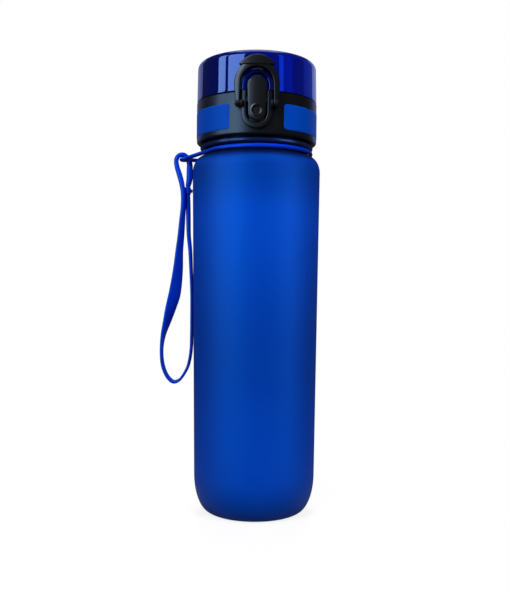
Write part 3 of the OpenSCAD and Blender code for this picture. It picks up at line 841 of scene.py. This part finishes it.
def make_lock_ring():
    """The bail over the button, its tab on top, and the eyes, lugs and trunnions that it swings on."""
    mid_z, out_r, in_r, crown_w = 227.2, 11.7, 8.6, 0.4
    pivot_y, pivot_z = -34.0, 217.4
    half, mid = (out_r - in_r) / 2, (out_r + in_r) / 2
    leg = [(9.95, pivot_z, 1.05), (9.95, pivot_z + 2, 1.15),
           (10.05, pivot_z + 4.5, 1.35), (10.13, mid_z - 2.5, 1.5)]
    arch = []
    for a in range(0, 181, 6):
        rise, across = math.sin(math.radians(a)), math.cos(math.radians(a))
        spread = crown_w * rise ** 4
        arch.append(((mid + spread) * across, mid_z + (mid + spread) * rise, half + spread))
    line = leg + arch + [(-x, z, w) for x, z, w in reversed(leg)]
    line = [(-x, z, w) for x, z, w in line]
    ring = front_band("lock_ring_bail", line, 34.6, 37.0, 0.5, BUTTON_BLACK, "ring")
    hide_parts("lock_ring")

    tab_r, tab_z, half_w, foot_z, flat = 11.6, 230.0, 9.1, 236.6, 7.2
    start = math.degrees(math.acos(half_w / tab_r))
    outline = arc(0, tab_z, tab_r, tab_r, start, 180 - start, 28)
    outline += [(-half_w + 0.1, foot_z + 0.15), (-half_w + 0.9, foot_z - 0.2)]
    outline += [(flat * (i / 6 - 1), foot_z - 0.2) for i in range(13)]
    outline += [(half_w - 0.9, foot_z - 0.2), (half_w - 0.1, foot_z + 0.15)]

    def spine(x, z):
        return 0.72 * x, foot_z + 1.9 + 1.0 * (1 - (x / half_w) ** 2)

    tab = front_plate("lock_ring_tab", outline, spine, 34.7, 37.55, 0.7, BUTTON_BLACK, "ring", loops=6)
    rounds = (("lock_ring_eyes", 1.9, 8.9, 11.0, 0.3, BUTTON_BLACK, "ring", "button"),
              ("lock_ring_lugs", 2.0, 7.2, 8.65, 0.25, SATIN_BLACK, "lid", "collar"),
              ("lock_ring_trunnions", 1.0, 7.2, 11.4, 0.2, SATIN_BLACK, "lid", "collar"))
    for name, r, x0, x1, bevel, material, body, slot in rounds:
        outline = arc(pivot_y, pivot_z, r, r, 0, 345, 23)
        block_pair(name, outline, x0, x1, bevel, material, body)


make_button()
make_lock_ring()

# These nodes are drawn as packed and only get their materials here.
for node, material in (("lid_gasket", SILICONE_CLEAR), ("cap_liner", LINER), ("spout_seal", SILICONE_CLEAR),
                       ("hinge_pin", STEEL), ("hinge_spring", STEEL), ("latch_pin", BLACK_STEEL),
                       ("latch_spring", STEEL)):
    mesh = frame["nodes"][node].data
    mesh.materials.clear()
    mesh.materials.append(material)


# ---- studio ----

def area_light(name, place, target, width, height, power, colour=(1, 1, 1), glossy=True, diffuse=True,
               only=None):
    """A softbox facing a target point, both in metres."""
    data = bpy.data.lights.new(name, "AREA")
    data.shape = "RECTANGLE"
    data.size, data.size_y = width, height
    data.energy = power
    data.color = colour
    light = bpy.data.objects.new(name, data)
    light.location = place
    light.rotation_mode = "QUATERNION"
    light.rotation_quaternion = (Vector(target) - Vector(place)).to_track_quat("-Z", "Y")
    light.visible_camera = False
    light.visible_glossy = glossy
    light.visible_diffuse = diffuse
    if only:
        light.light_linking.receiver_collection = only
    bpy.context.scene.collection.objects.link(light)


def around(degrees, distance, z):
    """A point at that distance from the bottle, degrees round from the camera's side towards +X."""
    a = math.radians(degrees - 90)
    return (distance * math.cos(a), distance * math.sin(a), z)


def pieces_of(name, starts):
    """The pieces whose names start so, in a collection for lights that fall on them alone."""
    group = bpy.data.collections.new(name)
    for obj in bpy.data.objects:
        if obj.type == "MESH" and obj.name.startswith(starts):
            group.objects.link(obj)
    return group


def make_floor():
    """A pale floor that fades to plain white away from the bottle."""
    size, cells = 6.0, 24
    fade_from, fade_to, fade_least = 0.04, 0.14, 0.82
    row = cells + 1
    places = [size * (2 * i / cells - 1) for i in range(row)]
    verts = [(x, y, 0.0) for x in places for y in places]
    corners = [i * row + j for i in range(cells) for j in range(cells)]
    faces = [(c, c + row, c + row + 1, c + 1) for c in corners]
    mesh = bpy.data.meshes.new("studio_floor")
    mesh.from_pydata(verts, [], faces)
    floor = bpy.data.objects.new("studio_floor", mesh)
    bpy.context.scene.collection.objects.link(floor)
    material = bpy.data.materials.new("studio_white")
    material.use_nodes = True
    nodes, links = material.node_tree.nodes, material.node_tree.links
    diffuse = nodes["Principled BSDF"]
    diffuse.inputs["Base Color"].default_value = (0.9, 0.9, 0.9, 1)
    diffuse.inputs["Roughness"].default_value = 0.9
    diffuse.inputs["Specular IOR Level"].default_value = 0.1
    glow = nodes.new("ShaderNodeEmission")
    glow.inputs["Color"].default_value = (1, 1, 1, 1)
    links.new(camera_only(nodes, links, otherwise=0.07, seen=1.0), glow.inputs["Strength"])
    place = nodes.new("ShaderNodeTexCoord")
    length = nodes.new("ShaderNodeVectorMath")
    length.operation = "LENGTH"
    links.new(place.outputs["Object"], length.inputs[0])
    fade = nodes.new("ShaderNodeMapRange")
    fade.inputs["From Min"].default_value = fade_from
    fade.inputs["From Max"].default_value = fade_to
    fade.inputs["To Min"].default_value = fade_least
    fade.interpolation_type = "SMOOTHSTEP"
    links.new(length.outputs["Value"], fade.inputs["Value"])
    mix = nodes.new("ShaderNodeMixShader")
    links.new(fade.outputs["Result"], mix.inputs[0])
    links.new(diffuse.outputs["BSDF"], mix.inputs[1])
    links.new(glow.outputs["Emission"], mix.inputs[2])
    links.new(mix.outputs["Shader"], nodes["Material Output"].inputs["Surface"])
    mesh.materials.append(material)


def camera_only(nodes, links, otherwise, seen):
    """A strength that differs between what the camera sees and what lights the bottle."""
    path = nodes.new("ShaderNodeLightPath")
    strength = nodes.new("ShaderNodeMapRange")
    strength.inputs["To Min"].default_value = otherwise
    strength.inputs["To Max"].default_value = seen
    links.new(path.outputs["Is Camera Ray"], strength.inputs["Value"])
    return strength.outputs["Result"]


def make_world():
    """White where the camera sees it directly, dim grey as a light."""
    world = bpy.data.worlds.new("studio")
    bpy.context.scene.world = world
    world.use_nodes = True
    nodes, links = world.node_tree.nodes, world.node_tree.links
    sky = nodes["Background"]
    sky.inputs["Color"].default_value = (1, 1, 1, 1)
    links.new(camera_only(nodes, links, otherwise=0.035, seen=1.0), sky.inputs["Strength"])


make_floor()
make_world()
MIDDLE, LOWER = (0, 0, 0.15), (0, 0, 0.12)
LID = pieces_of("lid_pieces", ("lid_collar_shell", "latch_frame", "grip_panel", "flip_cap", "hinge_knuckles"))
CAP = pieces_of("cap_pieces", ("flip_cap", "hinge_knuckles_cap"))
LATCH = pieces_of("latch_pieces", ("latch_button", "lock_ring", "latch_frame", "flip_cap_arch"))
BOTTLE = pieces_of("bottle_pieces", ("bottle_body",))
COOL, RIM_BLUE = (0.53, 0.73, 1), (0.4, 0.46, 1)


def sheen(name, place, width, height, power, colour, only):
    """A softbox that shows only as a reflection, in the pieces given."""
    area_light(name, place, MIDDLE, width, height, power, colour, diffuse=False, only=only)


area_light("softbox_left_wide", around(-40, 0.75, 0.28), MIDDLE, 0.40, 0.9, 6.9, COOL, diffuse=False)
area_light("softbox_left_strip", around(-69, 0.75, 0.28), MIDDLE, 0.2, 0.9, 3.3, COOL, diffuse=False)
area_light("key_left", around(-32, 0.6, 0.7), LOWER, 0.3, 0.3, 5.4, glossy=False)
area_light("key_right", around(38, 0.62, 0.7), LOWER, 0.3, 0.3, 4.9, glossy=False)
area_light("fill_rear", around(180, 0.8, 0.7), LOWER, 0.5, 0.5, 9.0, glossy=False)
area_light("softbox_top", (0, 0.1, 0.9), MIDDLE, 0.5, 0.5, 1.2)
sheen("body_sheen", around(62, 0.8, 0.25), 0.45, 0.7, 5.0, COOL, BOTTLE)
area_light("latch_sparkle", around(-38, 0.55, 0.62), (0, 0, 0.22), 0.3, 0.3, 2.4, diffuse=False, only=LATCH)
sheen("rim_left", around(-144, 0.8, 0.3), 0.46, 0.8, 0.75, RIM_BLUE, LID)
sheen("rim_right", around(146, 0.8, 0.3), 0.42, 0.8, 1.0, RIM_BLUE, LID)
sheen("cap_edge", around(114, 0.8, 0.3), 0.4, 0.8, 0.6, (0.05, 0.14, 1), CAP)
sheen("cap_streak", around(46, 0.75, 0.3), 0.11, 0.9, 1.2, (0.015, 0.13, 1), CAP)
sheen("cap_sheen", around(60, 0.75, 0.3), 0.24, 0.9, 0.9, (0.002, 0.03, 1), CAP)
area_light("cap_glow", around(50, 0.5, 0.45), (0, 0, 0.23), 0.3, 0.3, 3.0, (0.1, 0.4, 1),
           glossy=False, only=CAP)

bpy.context.scene.view_settings.view_transform = "Standard"
